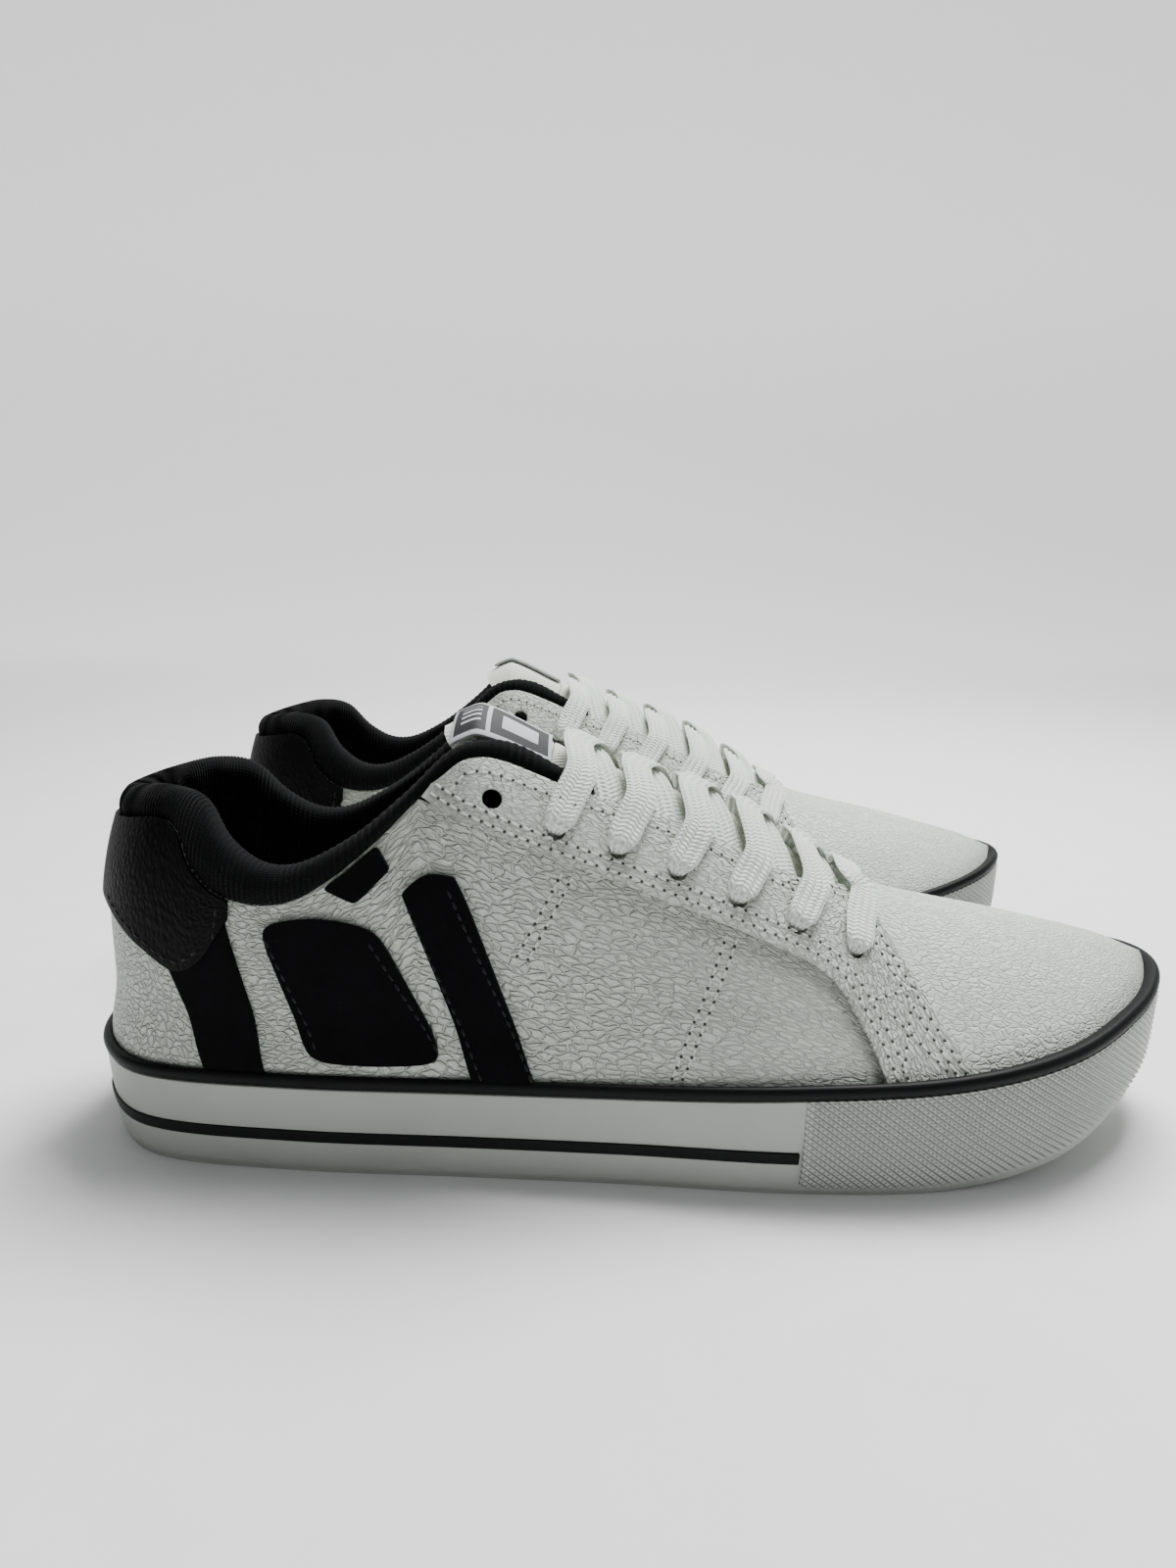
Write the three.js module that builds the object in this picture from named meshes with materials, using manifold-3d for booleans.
// A pair of low lace-up cheer shoes with vulcanised rubber soles, in millimetres.
// Frame: +X from heel to toe, +Y to the wearer's left, +Z up. The origin is on the floor in the
// middle of the pair. The right shoe is built first, in its own frame with the back of the heel
// at x = 0 and its lateral side towards -Y, and the left shoe is its mirror image.
import * as THREE from "three";
import { mergeVertices } from "three/addons/utils/BufferGeometryUtils.js";
import Module from "manifold-3d";

const wasm = await Module();
wasm.setup();

// ---- Driving sizes -------------------------------------------------------------------------
const soleLength = 300; // heel to toe, outside the rubber
const soleWidth = 95; // across the ball, outside the rubber
const upperHeight = 111; // floor to the top of the collar beside the tongue
const pairSpacing = 115; // between the two shoes' centre planes
const gap = 0.3; // air between pieces that touch on the real shoe
const wallGap = 0.8; // air between the upper's foot and the rubber side wall
const layerGap = 0.6; // air between the layers of the upper

const outsoleThickness = 4.5;
const foxingThickness = 3.2; // rubber side wall
const bumperThickness = 0.9; // knurled toe strip laid over the foxing
const beadHeight = 3.5;
const beadDepth = 2.2;
const beadProud = 0.7; // how far the bead stands out from the rubber wall
const pinstripeHeight = 3.2;
const pinstripeDepth = 0.6;
const pinstripeBase = 9.2; // floor to the stripe's lower edge
const toeSpring = 18; // lift of the sole at the toe tip

const fillerTop = 17.6;
const boardThickness = 1.8;
const footbedThickness = 5;

const leather = 1.3;
const overlay = 1.2;
const counterThickness = 1.2;
const liningThickness = 1;
const collarPadding = 8; // depth of the padded collar behind the leather
const bindingDepth = 4.2; // depth of the collar where it thins to a binding
const tongueThickness = 3;
const tongueHeadThickness = 7;
const goreWidth = 10;

const eyeletCount = 7;
const eyeletRadius = 2.5;
const laceWidth = 8.4;
const laceThickness = 1.4;
const laceInHole = 3.4; // width of the lace where it is bunched inside an eyelet
const agletLength = 18;
const agletSize = 2.6;

// ---- Shape lines, each a list of [x, value] ------------------------------------------------
// They are drawn for one size of shoe and stretch with the three overall sizes above. Heights
// stretch only above the sole.
const drawnLength = 300;
const drawnWidth = 95;
const drawnHeight = 111;
const soleTop = 24;
const long = (x) => (x * soleLength) / drawnLength;
const wide = (y) => (y * soleWidth) / drawnWidth;
const high = (z) => soleTop + ((z - soleTop) * (upperHeight - soleTop)) / (drawnHeight - soleTop);
const planLine = (points) => points.map(([x, y]) => [long(x), wide(y)]);
const sideLine = (points) => points.map(([x, z]) => [long(x), high(z)]);
const alongLine = (points) => points.map(([x, value]) => [long(x), value]);

const centreLine = planLine([[0, 0], [60, -3], [105, -4.5], [145, -5], [188, -3], [225, -1.5], [258, 0],
  [283, 2.5], [300, 4]]);
const halfWidth = planLine([[0, 0], [5, 18], [20, 31.5], [60, 37], [105, 38.2], [145, 40.5], [188, 46.5],
  [225, 47.5], [258, 41.5], [283, 27.5], [294, 16], [300, 0]]);
const wallTop = alongLine([[0, 24.2], [145, 24.9], [188, 26.9], [240, 30.4], [300, 41]]);
const ridge = sideLine([[0, 110], [60, 113], [88, 111], [96, 113.5], [102, 117], [108, 118.4], [127, 109.5],
  [150, 100], [165, 94.5], [178, 88.5], [195, 78], [205, 70.5], [219, 65.5], [233, 62], [251, 58], [269, 53.5],
  [284, 49.5], [293, 45.5], [300, 42.8]]);
const shoulder = alongLine([[0, 1.05], [60, 1.14], [90, 1.14], [108, 1.08], [130, 0.8], [150, 0.55], [203, 0.3],
  [240, 0.45], [275, 0.55], [300, 0.6]]);
const wallRise = alongLine([[0, 0.45], [107, 0.45], [203, 0.5], [260, 0.55], [300, 0.5]]);
const crownRise = alongLine([[0, 0.93], [60, 0.93], [107, 0.99], [150, 1], [300, 1]]);
const topline = sideLine([[0, 93], [10, 96], [22, 98], [34, 95.5], [44, 86], [54, 80.5], [64, 81], [78, 88.5],
  [92, 100], [101, 108.5], [109, 111], [117, 109.5], [128, 103.5], [142, 97], [161, 88.5], [175, 81.5],
  [190, 73.5], [205, 66.5]]);
const knitEdge = sideLine([[0, 86], [15, 89], [25, 90.5], [31, 87.5], [36, 80], [43, 74], [52, 71.5], [62, 72.5],
  [72, 78], [84, 88], [96, 100], [103, 106], [109, 107.6], [116, 106], [124, 102], [133, 97.8], [143, 93.5]]);
const leatherTop = sideLine([[94, 97], [102, 95.5], [111, 92], [127, 85], [142, 79], [159, 72.5], [173, 66],
  [188, 59], [203, 50], [214, 40]]);
const eyeletLine = sideLine([[111, 98], [127, 89.5], [142, 84], [159, 77.5], [173, 71], [188, 64], [203, 57]]);
const capLower = sideLine([[0, 69], [12, 66], [24, 58.5], [33, 53.5], [40, 57], [48, 69]]);
const counterTop = sideLine([[0, 60], [40, 50], [70, 36]]);
const firstEyelet = long(111.5);
const eyeletPitch = long(91.5) / (eyeletCount - 1);
// The collar's binding stops along the throat just before the first strand that passes under it.
const bindingEnd = firstEyelet + 2 * eyeletPitch - laceWidth / 2 - 6 * gap;
const tongueTip = long(96);
const tongueFold = long(127); // where the tongue's head bends
const quarterFront = long(94); // where the quarter's top passes from the collar to the eyestay
const springStart = long(211); // where the sole starts to lift at the toe

// ---- Curves ---------------------------------------------------------------------------------
// A smooth line through [x, value] points: cubic pieces whose slopes follow the neighbouring points.
function smooth(points, x) {
  const last = points.length - 1;
  const at = Math.min(Math.max(x, points[0][0]), points[last][0]);
  let i = 0;
  while (i < last - 1 && at > points[i + 1][0]) i += 1;
  const slope = (k) => {
    const a = points[Math.max(k - 1, 0)];
    const b = points[Math.min(k + 1, last)];
    return (b[1] - a[1]) / (b[0] - a[0]);
  };
  const [x0, y0] = points[i];
  const [x1, y1] = points[i + 1];
  const h = x1 - x0;
  const t = (at - x0) / h;
  const bend = t * t * (3 - 2 * t);
  return y0 + (y1 - y0) * bend + h * t * (1 - t) * ((1 - t) * slope(i) - t * slope(i + 1));
}

// The plan of the shoe is walked by an angle share u, from 0 at the heel to 1 at the toe, so that
// both ends come out round. These turn a shape line in x into one in u.
const shareOf = (x) => Math.acos(1 - (2 * x) / soleLength) / Math.PI;
const centreByShare = centreLine.map(([x, y]) => [shareOf(x), y]);
const halfByShare = halfWidth.map(([x, y]) => [shareOf(x), y]);
const widest = Math.max(...halfWidth.map(([, y]) => y));

const baseLift = (x) => toeSpring * Math.max(0, (x - springStart) / (soleLength - springStart)) ** 2;
const foxingTop = (x) => smooth(wallTop, x);

// Plan point at share u, with side from -1 (lateral edge) to +1 (medial edge), moved in by inset.
function plan(u, side, inset) {
  const x = inset + ((soleLength - 2 * inset) * (1 - Math.cos(Math.PI * u))) / 2;
  const half = (smooth(halfByShare, u) * (widest - inset)) / widest;
  return [x, smooth(centreByShare, u) + side * half];
}
const shareAt = (x, inset) => Math.acos(1 - (2 * (x - inset)) / (soleLength - 2 * inset)) / Math.PI;

const foxingInset = bumperThickness + gap;
const upperInset = foxingInset + foxingThickness + wallGap;
const fillInset = upperInset + wallGap; // the pieces inside the rubber wall
const footbedInset = upperInset + leather + counterThickness + liningThickness + 3.5; // inside the lining
const upperBase = fillerTop + boardThickness + 2 * gap;

// ---- The upper's outer face -------------------------------------------------------------------
// The back of the heel leans forward above leanStart, less and less up to leanReach from the heel.
const heelLean = 0.0065;
const leanStart = 58;
const leanReach = long(70);

// side -1 is lateral and +1 medial; rise runs from 0 at the sole to 1 on the centre ridge.
function upperFace(u, side, rise) {
  const [x, edge] = plan(u, side, upperInset);
  const middle = smooth(centreByShare, u);
  const base = upperBase + baseLift(x);
  const height = smooth(ridge, x) - base;
  const b1 = 3 * rise * (1 - rise) ** 2;
  const b2 = 3 * rise * rise * (1 - rise);
  const across = (1 - rise) ** 3 + b1 + b2 * smooth(shoulder, x);
  const up = b1 * smooth(wallRise, x) + b2 * smooth(crownRise, x) + rise ** 3;
  const z = base + height * up;
  const lean = heelLean * Math.max(0, z - leanStart) ** 2 * Math.max(0, 1 - x / leanReach);
  return new THREE.Vector3(x + lean, middle + (edge - middle) * across, z);
}

// The same face with its normal, by share with a sign (negative is lateral), moved out by offset.
function onUpper(signedShare, rise, offset) {
  const step = 1e-3;
  const at = (s, r) => upperFace(Math.abs(s), Math.sign(s) || 1, r);
  const side = Math.sign(signedShare) || 1;
  const alongStep = Math.abs(signedShare) < 2 * step ? step : side * step;
  const ahead = at(signedShare + alongStep, rise);
  const behind = at(signedShare - alongStep, rise);
  const low = Math.max(0, rise - step);
  // Past the ridge the face carries on down the other side.
  const high = rise + step > 1 ? at(-signedShare, 2 - rise - step) : at(signedShare, rise + step);
  const along = ahead.sub(behind);
  const up = high.sub(at(signedShare, low));
  const normal = along.cross(up).normalize();
  if (Math.abs(signedShare) < 2 * step) normal.set(-Math.hypot(normal.x, normal.y), 0, normal.z);
  else if (normal.y * side < 0 && rise < 0.9) normal.negate();
  else if (rise >= 0.9 && normal.z < 0) normal.negate();
  return at(signedShare, rise).addScaledVector(normal, offset);
}

// The rise at which the face reaches height z.
function riseTo(signedShare, z) {
  let low = 0;
  let high = 1;
  for (let i = 0; i < 24; i += 1) {
    const middle = (low + high) / 2;
    if (upperFace(Math.abs(signedShare), 1, middle).z < z) low = middle;
    else high = middle;
  }
  return (low + high) / 2;
}
const shareOnUpper = (x) => shareAt(Math.max(x, upperInset + 0.02), upperInset);

// ---- Solids ------------------------------------------------------------------------------------
// A closed sheet: place(a, b, layer) gives its outer face for layer 1 and its inner face for layer 0.
function sheet(place, countA, countB) {
  const corners = [];
  const row = countB + 1;
  for (const layer of [1, 0])
    for (let i = 0; i <= countA; i += 1)
      for (let j = 0; j <= countB; j += 1) corners.push(place(i / countA, j / countB, layer));
  const faces = [];
  const other = (countA + 1) * row;
  const quad = (a, b, c, d) => faces.push(a, b, c, a, c, d);
  for (let i = 0; i < countA; i += 1)
    for (let j = 0; j < countB; j += 1) {
      const k = i * row + j;
      quad(k, k + row, k + row + 1, k + 1);
      quad(other + k, other + k + 1, other + k + row + 1, other + k + row);
    }
  const edge = (a, b) => quad(a, other + a, other + b, b);
  for (let i = 0; i < countA; i += 1) {
    edge(i * row, (i + 1) * row);
    edge((i + 1) * row + countB, i * row + countB);
  }
  for (let j = 0; j < countB; j += 1) {
    edge(j + 1, j);
    edge(countA * row + j, countA * row + j + 1);
  }
  return closedBody(corners, faces);
}

// A closed body swept along stations: ring(i) gives the same number of points at each station.
function sweep(ring, stations, looped) {
  const corners = [];
  const faces = [];
  const size = ring(0).length;
  for (let i = 0; i < stations; i += 1) corners.push(...ring(i));
  const spans = looped ? stations : stations - 1;
  for (let i = 0; i < spans; i += 1)
    for (let k = 0; k < size; k += 1) {
      const a = i * size + k;
      const b = i * size + ((k + 1) % size);
      const c = (((i + 1) % stations) * size) + ((k + 1) % size);
      const d = (((i + 1) % stations) * size) + k;
      faces.push(a, b, c, a, c, d);
    }
  if (!looped)
    for (let k = 1; k < size - 1; k += 1) {
      faces.push(0, k + 1, k);
      const end = (stations - 1) * size;
      faces.push(end, end + k, end + k + 1);
    }
  return closedBody(corners, faces);
}

// Geometry with merged corners, turned to face outwards.
function closedBody(corners, faces) {
  const geometry = new THREE.BufferGeometry().setFromPoints(corners).setIndex(faces);
  let volume = 0;
  for (let i = 0; i < faces.length; i += 3) {
    const [a, b, c] = [corners[faces[i]], corners[faces[i + 1]], corners[faces[i + 2]]];
    volume += a.dot(b.clone().cross(c));
  }
  if (volume < 0) geometry.setIndex(faces.map((_, i) => faces[i - (i % 3) + 2 - (i % 3)]));
  return mergeVertices(geometry, 1e-3);
}

const mix = (a, b, t) => a + (b - a) * t;

// Layers measured from the upper's outer face; the first number is the outer side.
const leatherLayer = [0, -leather];
const overlayLayer = [layerGap + overlay, layerGap];
const counterLayer = [-leather - layerGap, -leather - layerGap - counterThickness];
const liningOuter = counterLayer[1] - layerGap;
const liningLayer = [liningOuter, liningOuter - liningThickness];
const inLayer = (layer, pair) => (layer ? pair[0] : pair[1]);

// A sheet on the upper between two height lines, from signed x0 to signed x1 (negative is lateral).
function wallSheet(signedX0, signedX1, lowerLine, upperLine, layers, countA, countB) {
  const s0 = Math.sign(signedX0) * shareOnUpper(Math.abs(signedX0));
  const s1 = Math.sign(signedX1) * shareOnUpper(Math.abs(signedX1));
  return sheet((a, b, layer) => {
    const s = mix(s0, s1, a);
    const x = plan(Math.abs(s), 1, upperInset)[0];
    const low = riseTo(s, lowerLine(x));
    const high = riseTo(s, upperLine(x));
    return onUpper(s, mix(low, high, b), inLayer(layer, layers));
  }, countA, countB);
}

// A sheet on one side of the upper ruled between two lines of [x, z] points.
function ruledSheet(side, lineA, lineB, layers, countA, countB) {
  const along = (line, t) => {
    const byIndex = (k) => line.map((p, i) => [i / (line.length - 1), p[k]]);
    const x = smooth(byIndex(0), t);
    const share = shareOnUpper(x);
    return [share, riseTo(share, smooth(byIndex(1), t))];
  };
  return sheet((a, b, layer) => {
    const [shareA, riseA] = along(lineA, a);
    const [shareB, riseB] = along(lineB, a);
    return onUpper(side * mix(shareA, shareB, b), mix(riseA, riseB, b), inLayer(layer, layers));
  }, countA, countB);
}

// A slab that follows the plan of the sole between two heights over the sole's base line.
function slab(inset, low, high) {
  const end = 0.03; // share left flat at the heel and the toe
  return sheet((a, b, layer) => {
    const [x, y] = plan(mix(end, 1 - end, a), 2 * b - 1, inset);
    return new THREE.Vector3(x, y, baseLift(x) + (layer ? high : low));
  }, 10, 2);
}

// A strip round the sole: section(x) gives [inset, z] corners, from share u0 (lateral, negative) to u1.
function strip(section, u0, u1, stations, looped) {
  const ring = (i) => {
    const t = i / (looped ? stations : stations - 1);
    let s = mix(u0, u1, t);
    if (s > 1) s -= 2;
    const side = s < 0 ? -1 : 1;
    const u = Math.abs(s);
    return section(plan(u, side, 0)[0]).map(([inset, z]) => {
      const [x, y] = plan(u, side, inset);
      return new THREE.Vector3(x, y, z);
    });
  };
  return sweep(ring, stations, looped);
}

// ---- Sole ---------------------------------------------------------------------------------------
const bumperFrom = 14 / 24; // share of the plan where the toe bumper begins, on both sides
const soleStations = 48; // corners round the rubber wall

function foxing() {
  const inner = foxingInset + foxingThickness;
  return strip((x) => {
    const low = baseLift(x) + gap;
    return [[foxingInset, low], [foxingInset, foxingTop(x)], [inner, foxingTop(x)], [inner, low]];
  }, -1, 1, soleStations, true);
}

// Thin rubber tape laid on the foxing, from one end of the bumper round the heel to the other.
function pinstripe() {
  const end = bumperFrom - 0.003;
  const inner = foxingInset - gap;
  return strip((x) => {
    const low = baseLift(x) + pinstripeBase;
    const high = low + pinstripeHeight;
    return [[inner - pinstripeDepth, low], [inner - pinstripeDepth, high], [inner, high], [inner, low]];
  }, -end, end, 2 * Math.round((bumperFrom * soleStations) / 2) + 1, false);
}

function bead() {
  const middleInset = foxingInset - beadProud + beadDepth / 2;
  return strip((x) => {
    const middle = foxingTop(x) + gap + beadHeight / 2;
    return Array.from({ length: 4 }, (_, k) => {
      const angle = (k * Math.PI) / 2;
      return [middleInset + (beadDepth / 2) * Math.cos(angle), middle + (beadHeight / 2) * Math.sin(angle)];
    });
  }, -1, 1, soleStations, true);
}

function toeBumper() {
  return strip((x) => {
    const low = baseLift(x) + gap;
    return [[0, low], [0, foxingTop(x)], [bumperThickness, foxingTop(x)], [bumperThickness, low]];
  }, bumperFrom, 2 - bumperFrom, 21, false);
}

// ---- Upper panels -----------------------------------------------------------------------------
const soleEdge = () => upperBase;
const vampBack = (down) => long(mix(204, 218, down)); // the vamp's rear edge, ridge to sole

const vampFront = 0.975; // share at which the vamp closes at the toe tip

function vamp() {
  return sheet((a, b, layer) => {
    const signed = 2 * b - 1;
    const down = Math.abs(signed);
    const share = mix(shareOnUpper(vampBack(down)), vampFront, a);
    return onUpper(Math.sign(signed || 1) * share, 1 - down, inLayer(layer, leatherLayer));
  }, 7, 10);
}

function quarter(side) {
  const back = 0.012; // share kept free at the back seam
  return sheet((a, b, layer) => {
    const low = shareOnUpper(vampBack(1) - 1);
    const high = shareOnUpper(vampBack(0.62) - 1);
    const s = mix(back, mix(low, high, b), a);
    const x = plan(s, 1, upperInset)[0];
    const top = x < quarterFront ? smooth(knitEdge, x) - layerGap : smooth(leatherTop, x);
    return onUpper(side * s, mix(0, riseTo(s, top), b), inLayer(layer, leatherLayer));
  }, 24, 3);
}

// The eyestay's seam on the quarter, and its top and front edge, heel end to sole end.
const eyestayFoot = (x) => [long(x), foxingTop(long(x)) + gap];
const eyestaySeam = [...sideLine([[95, 97.5], [117, 87], [144, 76], [174, 64], [194, 54], [203, 42]]),
  eyestayFoot(208)];
const eyestayEdge = [...sideLine([[97.5, 100.5], [109, 106.6], [131, 98], [160, 87.8], [188, 74], [207, 66.5],
  [217, 52]]), eyestayFoot(230)];

function eyeletPlace(index) {
  const x = firstEyelet + index * eyeletPitch;
  const share = shareOnUpper(x);
  return [share, riseTo(share, smooth(eyeletLine, x))];
}

function eyestay(side) {
  let solid = asSolid(ruledSheet(side, eyestaySeam, eyestayEdge, overlayLayer, 14, 3));
  for (let i = 0; i < eyeletCount; i += 1) {
    const [share, rise] = eyeletPlace(i);
    const middle = onUpper(side * share, rise, 0);
    const out = onUpper(side * share, rise, 1).sub(middle);
    const drill = new THREE.CylinderGeometry(eyeletRadius, eyeletRadius, 12, 6);
    drill.applyQuaternion(new THREE.Quaternion().setFromUnitVectors(new THREE.Vector3(0, 1, 0), out));
    drill.translate(middle.x, middle.y, middle.z);
    solid = solid.subtract(asSolid(drill));
  }
  return asGeometry(solid);
}

function asSolid(geometry) {
  const bare = geometry.clone();
  bare.deleteAttribute("normal");
  bare.deleteAttribute("uv");
  const merged = mergeVertices(bare, 1e-3);
  return new wasm.Manifold(new wasm.Mesh({
    numProp: 3,
    vertProperties: merged.attributes.position.array,
    triVerts: new Uint32Array(merged.index.array),
  }));
}

function asGeometry(solid) {
  const mesh = solid.getMesh();
  return new THREE.BufferGeometry()
    .setAttribute("position", new THREE.BufferAttribute(new Float32Array(mesh.vertProperties), 3))
    .setIndex(new THREE.BufferAttribute(new Uint32Array(mesh.triVerts), 1));
}

const capEnd = long(47);

function heelCap() {
  const lower = (x) => smooth(capLower, x);
  const upper = (x) => smooth(knitEdge, x) - layerGap;
  return wallSheet(-capEnd, capEnd, lower, upper, overlayLayer, 16, 2);
}

// The lowest height of a piece sewn on the upper, tucked behind the bead.
const overlayFoot = (x) => foxingTop(x) + gap;

// Black strap from the cap's tip down to the sole.
function heelStrap(side) {
  return sheet((a, b, layer) => {
    const topX = long(mix(30, 46, b));
    const topZ = smooth(capLower, topX) - 2 * gap;
    const x = mix(topX, long(mix(42, 57, b)), a);
    const share = shareOnUpper(x);
    return onUpper(side * share, riseTo(share, mix(topZ, overlayFoot(x), a)), inLayer(layer, overlayLayer));
  }, 4, 2);
}

// The three pieces on the lateral side, each ruled between its top and bottom lines.
const sidePanel = {
  top: sideLine([[54.5, 66.5], [69, 68.5], [84, 66.5]]),
  bottom: sideLine([[67, 31.5], [84, 31], [101, 32]]),
};
const sideBand = {
  top: sideLine([[90, 75.5], [96, 80], [103, 80]]),
  bottom: [108.5, 116, 124].map(eyestayFoot),
};
const sideTab = {
  top: sideLine([[71, 76], [77.5, 81], [84, 86.6]]),
  bottom: sideLine([[79, 72.5], [83, 76.5], [87.5, 81]]),
};
const sidePiece = (shape, countB) => ruledSheet(-1, shape.top, shape.bottom, overlayLayer, 4, countB);

// ---- Collar, lining, stiffeners -----------------------------------------------------------------
const thinning = (x) => Math.min(1, Math.max(0, (x - long(52)) / long(45)));
const innerDrop = (x) => mix(14, 4.5, thinning(x));
const padDepth = (x) => mix(collarPadding, bindingDepth, thinning(x));

// Padded collar: its section runs up the outside from the knit's edge, over the top and down inside.
function collar() {
  const end = shareOnUpper(bindingEnd);
  const stations = 41;
  return sweep((i) => {
    const s = mix(-end, end, i / (stations - 1)) || 1e-5;
    const x = plan(Math.abs(s), 1, upperInset)[0];
    const edge = smooth(knitEdge, x) + 2 * gap;
    const top = smooth(topline, x);
    const inside = edge - innerDrop(x);
    const depth = padDepth(x);
    const hidden = -leather - layerGap;
    const bulge = mix(1.7, 1, thinning(x));
    const at = (z, offset) => onUpper(s, riseTo(s, z), offset);
    return [at(edge, hidden), at(edge, 0.6), at(mix(edge, top, 0.55), bulge), at(top, 0), at(top, -depth * 0.75),
      at(mix(inside, top, 0.5), -depth), at(inside, hidden - 1.5)];
  }, stations, false);
}

const liningEnd = long(203);

function lining() {
  const underCollar = (x) => smooth(knitEdge, x) - innerDrop(x) - 2 * layerGap;
  const top = (x) => Math.min(underCollar(x), smooth(leatherTop, Math.max(x, quarterFront)) - 6);
  return wallSheet(-liningEnd, liningEnd, soleEdge, top, liningLayer, 26, 2);
}

function heelCounter() {
  const end = long(68);
  return wallSheet(-end, end, soleEdge, (x) => smooth(counterTop, x), counterLayer, 16, 2);
}

// ---- Tongue ---------------------------------------------------------------------------------------
const tongueCentre = -2.6; // the tongue's outer face under the ridge
const tongueFlank = liningLayer[1] - 0.4; // and where it runs in under the eyestays
const headFlank = -bindingDepth - 0.9; // and at the head, which stays clear of the collar
const tongueReach = 0.46; // how far down each side the base goes, as a share of the rise

const ease = (t) => t * t * (3 - 2 * t);
const edgeRise = (share, x) => riseTo(share, smooth(topline, x));

function tonguePiece(x0, x1, thickness, flank, reach, countA) {
  const s0 = shareOnUpper(x0);
  const s1 = shareOnUpper(x1);
  return sheet((a, b, layer) => {
    const signed = 2 * b - 1;
    const share = mix(s0, s1, a);
    const down = Math.abs(signed) * reach(share);
    const opening = 1 - edgeRise(share, mix(x0, x1, a));
    const outer = mix(tongueCentre, flank, ease(Math.min(1, down / (0.9 * opening))));
    const body = layer ? outer : outer - thickness * (1 - 0.4 * signed ** 4);
    return onUpper(Math.sign(signed || 1) * share, 1 - down, body);
  }, countA, 8);
}

function tongueBase() {
  const toeEnd = long(213);
  return tonguePiece(tongueFold + gap, toeEnd, tongueThickness, tongueFlank, () => tongueReach, 7);
}

// The padded head is just as wide as the opening between the bindings, so it lifts out of it.
function tongueHead() {
  const openingAt = (share) => 1 - edgeRise(share, plan(share, 1, upperInset)[0]);
  return tonguePiece(tongueTip, tongueFold, tongueHeadThickness, headFlank, openingAt, 5);
}

function tongueLabel() {
  const s0 = shareOnUpper(tongueTip + 5);
  const s1 = shareOnUpper(tongueFold - 1.5);
  return sheet((a, b, layer) => {
    const across = 2 * b - 1;
    const face = tongueCentre + layerGap + (layer ? 0.8 : 0);
    return onUpper(Math.sign(across || 1) * mix(s0, s1, a), 1 - Math.abs(across) * 0.08, face);
  }, 3, 2);
}

// Elastic strap from the head's edge back to the lining, behind the collar.
function gore(side) {
  const front = tongueTip - 1;
  const top = [[front - goreWidth, high(90)], [front, high(98)]];
  const bottom = [[front - goreWidth - 5, high(74)], [front - 5, high(77)]];
  const deep = -collarPadding - 1.2;
  return ruledSheet(side, top, bottom, [deep, deep - 0.9], 3, 2);
}

// ---- Lace -------------------------------------------------------------------------------------------
// The lace starts as a bar over the last row of eyelets. Each half then goes in, under its eyestay,
// and over the tongue to the next row on the other side. The top row stays empty, and each end is
// tucked down inside the shoe. A stop on the route is [signed share, rise, offset, width].
const laceOver = overlayLayer[0] + gap + laceThickness / 2;
const laceUnder = -laceThickness / 2 - gap;
const laceInside = liningLayer[1] - layerGap - laceThickness / 2 - 0.9;
const crossingLift = laceThickness / 2 + 0.35;
const lastRow = eyeletCount - 1;

function stopAt(share, rise, offset, width) {
  const point = onUpper(share, rise, offset);
  const lengthwise = onUpper(share + 0.004 * Math.sign(share), rise, offset).sub(point).normalize();
  const normal = onUpper(share, rise, offset + 1).sub(point);
  return { point, lengthwise, normal, width };
}

function edgeStop(side, x, deeper, offset) {
  const share = shareOnUpper(x);
  return [side * share, edgeRise(share, x) - deeper, offset, laceWidth];
}

// Over the eyestay from its edge to the eyelet of the given row, and in through it.
function intoEyelet(side, row) {
  const [share, rise] = eyeletPlace(row);
  const edgeX = firstEyelet + row * eyeletPitch + 3;
  const edgeShare = shareOnUpper(edgeX);
  const halfway = mix(edgeRise(edgeShare, edgeX), rise, 0.55);
  return [
    edgeStop(side, edgeX, 0, laceOver + 0.6),
    [side * mix(edgeShare, share, 0.55), halfway, laceOver + 0.4, laceWidth * 0.85],
    [side * share, rise + 0.01, laceOver + 0.4, laceInHole],
    [side * share, rise, overlayLayer[1], laceInHole],
    [side * share, rise + 0.004, laceUnder, laceInHole],
  ];
}

// Out from under the eyestay at row + 1, over the tongue and down to the eyelet of the row, on side to.
function crossing(row, to) {
  const lift = to < 0 ? crossingLift : -crossingLift;
  const fromX = firstEyelet + (row + 1) * eyeletPitch;
  const toX = firstEyelet + row * eyeletPitch;
  const acrossAt = (t) => shareOnUpper(mix(fromX, toX, t));
  return [
    edgeStop(-to, fromX - 0.5, 0.04, laceUnder),
    [-to * acrossAt(0.32), 0.93, 0.7 + lift * 0.4, laceWidth],
    [to * acrossAt(0.5), 1, 1.5 + lift, laceWidth],
    [to * acrossAt(0.68), 0.93, 2.1 + lift * 0.4, laceWidth],
    ...intoEyelet(to, row),
  ];
}

function bar(side) {
  const ridgeShare = shareOnUpper(firstEyelet + lastRow * eyeletPitch + 2.5);
  return [
    [side * ridgeShare, 1, laceOver + 0.7, laceWidth],
    [side * ridgeShare, 0.88, laceOver + 0.6, laceWidth],
    ...intoEyelet(side, lastRow),
  ];
}

// The end of the lace inside the shoe: down past the lining's edge, then forward along the wall.
// The third number says how deep it is, from 0 under the eyestay to 1 inside the lining.
const tuck = [[124.5, 86.5, 0.45], [122, 82.5, 1], [119, 74, 1], [116.5, 64, 1], [118, 54, 1], [125, 46, 1],
  [136, 41.5, 1], [150, 39, 1]].map(([x, z, deep]) => [long(x), high(z), mix(laceUnder, laceInside, deep)]);

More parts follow.
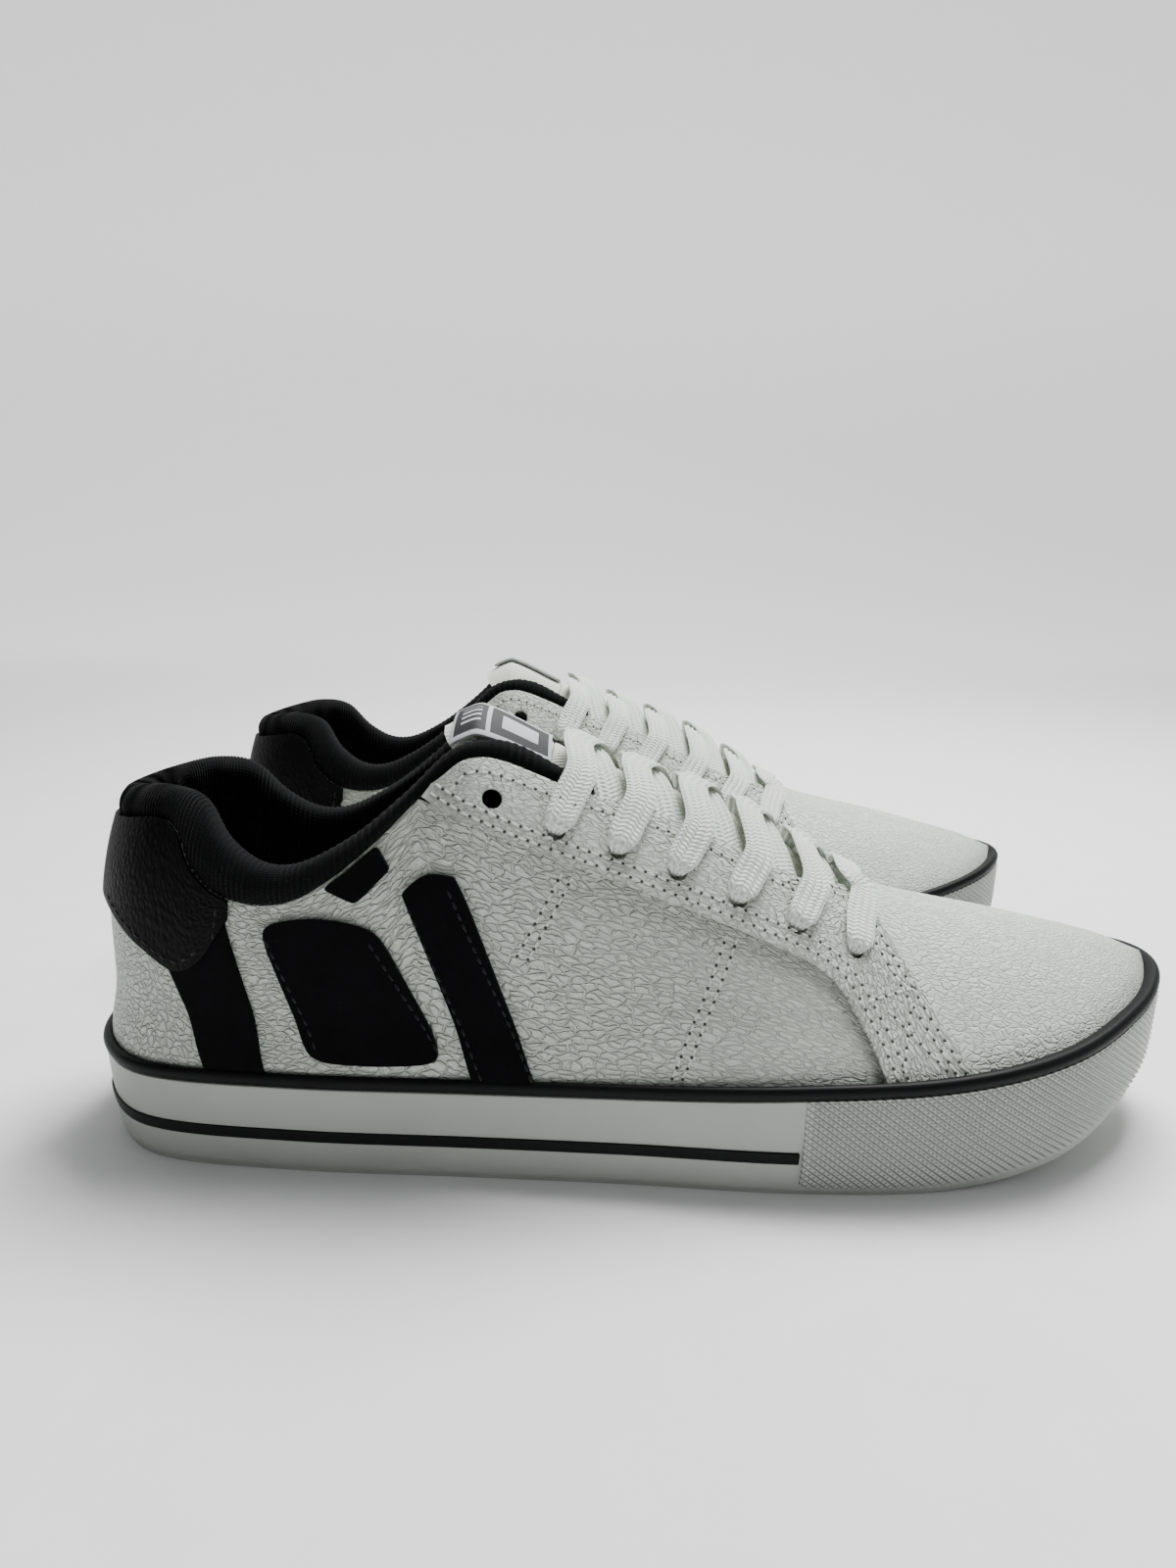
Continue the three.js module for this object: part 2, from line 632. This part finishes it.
function tuckedEnd(side) {
  return tuck.map(([x, z, offset]) => {
    const share = shareOnUpper(x);
    return [side * share, riseTo(share, z), offset, laceWidth * 0.9];
  });
}

function laceHalf(side) {
  const route = bar(side);
  let to = -side;
  for (let row = lastRow - 1; row >= 1; row -= 1) {
    route.push(...crossing(row, to));
    to = -to;
  }
  route.push(...tuckedEnd(-to));
  return route.map(([share, rise, offset, width]) => stopAt(share, rise, offset, width));
}

// A flat ribbon that lies on the upper along a route of stops. Where it goes through a hole its
// width stays along the shoe.
function ribbon(route, thickness) {
  const line = new THREE.CatmullRomCurve3(route.map((stop) => stop.point), false, "centripetal");
  let before = null;
  const rings = route.map((stop, i) => {
    const along = line.getTangent(i / (route.length - 1));
    const through = Math.abs(along.dot(stop.normal)) > 0.7;
    const wide = through ? stop.lengthwise.clone() : stop.normal.clone().cross(along);
    wide.addScaledVector(along, -wide.dot(along)).normalize();
    if (before && before.dot(wide) < 0) wide.negate();
    before = wide;
    const thick = along.clone().cross(wide);
    return [[-1, -1], [1, -1], [1, 1], [-1, 1]].map(([w, h]) => stop.point.clone()
      .addScaledVector(wide, (w * stop.width) / 2).addScaledVector(thick, (h * thickness) / 2));
  });
  return sweep((i) => rings[i], route.length, false);
}

function lace() {
  const lateral = laceHalf(-1);
  const medial = laceHalf(1);
  return ribbon([...lateral.reverse(), ...medial.slice(1)], laceThickness);
}

function aglet(side) {
  const [endX, endZ] = tuck[tuck.length - 1];
  const stops = [endX + 2 * gap, endX + 2 * gap + agletLength].map((x) => {
    const share = shareOnUpper(x);
    const rise = riseTo(share, endZ - (x - endX) * 0.12);
    return stopAt(side * share, rise, laceInside - 0.9, agletSize);
  });
  return ribbon(stops, agletSize);
}

// ---- Materials and assembly --------------------------------------------------------------------------
const finish = (color, roughness) => new THREE.MeshStandardMaterial({ color, roughness, metalness: 0 });
const whiteLeather = finish(0xdfe0d8, 0.55);
const blackLeather = finish(0x17171a, 0.5);
const blackSuede = finish(0x0b0c10, 0.9);
const blackKnit = finish(0x0c0d12, 0.95);
const whiteRubber = finish(0xe9e9ea, 0.5);
const blackRubber = finish(0x141517, 0.45);
const foam = finish(0xcfcfc8, 0.9);
const board = finish(0xb8a88c, 0.9);
const whiteMesh = finish(0xe2e2d6, 0.8);
const whiteLace = finish(0xf2f2ee, 0.8);
const clearPlastic = finish(0xe6e6e6, 0.3);

function shoe(name) {
  const group = new THREE.Group();
  const add = (node, geometry, material) => {
    const mesh = new THREE.Mesh(geometry, material);
    mesh.name = `${name}_${node}`;
    group.add(mesh);
  };
  add("outsole", slab(fillInset, 0, outsoleThickness), whiteRubber);
  add("midsole_filler", slab(fillInset, outsoleThickness + gap, fillerTop), foam);
  add("insole_board", slab(fillInset, fillerTop + gap, upperBase - gap), board);
  add("footbed", slab(footbedInset, upperBase + gap, upperBase + footbedThickness), foam);
  add("foxing", foxing(), whiteRubber);
  add("pinstripe", pinstripe(), blackRubber);
  add("bead", bead(), blackRubber);
  add("toe_bumper", toeBumper(), whiteRubber);
  add("vamp", vamp(), whiteLeather);
  add("quarter_lateral", quarter(-1), whiteLeather);
  add("quarter_medial", quarter(1), whiteLeather);
  add("eyestay_lateral", eyestay(-1), whiteLeather);
  add("eyestay_medial", eyestay(1), whiteLeather);
  add("heel_counter", heelCounter(), board);
  add("heel_cap", heelCap(), blackLeather);
  add("heel_strap_lateral", heelStrap(-1), blackSuede);
  add("heel_strap_medial", heelStrap(1), blackSuede);
  add("side_panel", sidePiece(sidePanel, 3), blackSuede);
  add("side_band", sidePiece(sideBand, 4), blackSuede);
  add("side_tab", sidePiece(sideTab, 2), blackSuede);
  add("collar", collar(), blackKnit);
  add("lining", lining(), blackKnit);
  add("tongue_base", tongueBase(), whiteMesh);
  add("tongue_head", tongueHead(), whiteMesh);
  add("tongue_label", tongueLabel(), blackKnit);
  add("gore_lateral", gore(-1), blackKnit);
  add("gore_medial", gore(1), blackKnit);
  add("lace", lace(), whiteLace);
  add("aglet_lateral", aglet(-1), clearPlastic);
  add("aglet_medial", aglet(1), clearPlastic);
  return group;
}

const rightShoe = shoe("right");
rightShoe.position.set(-soleLength / 2, -pairSpacing / 2, 0);
const leftShoe = shoe("left");
leftShoe.position.set(-soleLength / 2, pairSpacing / 2, 0);
leftShoe.scale.y = -1;

const pair = new THREE.Group();
pair.add(rightShoe, leftShoe);
export default pair;
